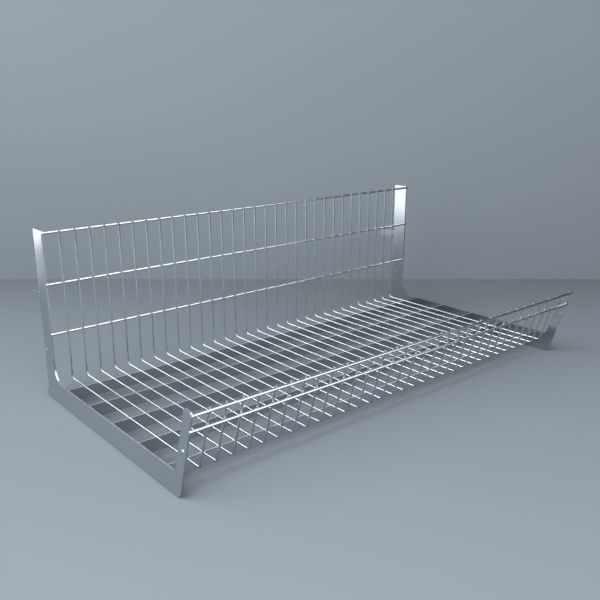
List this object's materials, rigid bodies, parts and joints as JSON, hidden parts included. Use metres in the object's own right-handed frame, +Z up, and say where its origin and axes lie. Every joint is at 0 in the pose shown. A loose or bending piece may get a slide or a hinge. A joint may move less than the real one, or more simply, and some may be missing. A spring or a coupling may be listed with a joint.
{
  "type": "dish drying rack",
  "caption": "Long open wire rack for draining dishes: flat steel side plates with rear hook tongues, round rails, flat floor bars and U-shaped basket wires.",
  "frame": {"origin": "middle of the rack's bounding box, on the plane that the side plates stand on", "axes": "+X along the rack to its right, +Y to its back, where the hooks are, +Z up"},
  "size_m": [1, 0.595, 0.342],
  "materials": {
    "side_plate": "satin",
    "rail": "polished",
    "floor_bar": "satin",
    "wire": "polished"
  },
  "bodies": {
    "root": {"left_side_plate": "side_plate", "right_side_plate": "side_plate", "back_rail_top": "rail", "back_rail_middle": "rail", "back_rail_lower": "rail", "front_rail_top": "rail", "front_rail_lower": "rail", "floor_bar_1": "floor_bar", "floor_bar_2": "floor_bar", "floor_bar_3": "floor_bar", "floor_bar_4": "floor_bar", "floor_bar_5": "floor_bar", "basket_wire_01": "wire", "basket_wire_02": "wire", "basket_wire_03": "wire", "basket_wire_04": "wire", "basket_wire_05": "wire", "basket_wire_06": "wire", "basket_wire_07": "wire", "basket_wire_08": "wire", "basket_wire_09": "wire", "basket_wire_10": "wire", "basket_wire_11": "wire", "basket_wire_12": "wire", "basket_wire_13": "wire", "basket_wire_14": "wire", "basket_wire_15": "wire", "basket_wire_16": "wire", "basket_wire_17": "wire", "basket_wire_18": "wire", "basket_wire_19": "wire", "basket_wire_20": "wire", "basket_wire_21": "wire", "basket_wire_22": "wire", "basket_wire_23": "wire", "basket_wire_24": "wire", "basket_wire_25": "wire", "basket_wire_26": "wire", "basket_wire_27": "wire", "basket_wire_28": "wire", "basket_wire_29": "wire", "basket_wire_30": "wire", "basket_wire_31": "wire"}
  },
  "joints": []
}
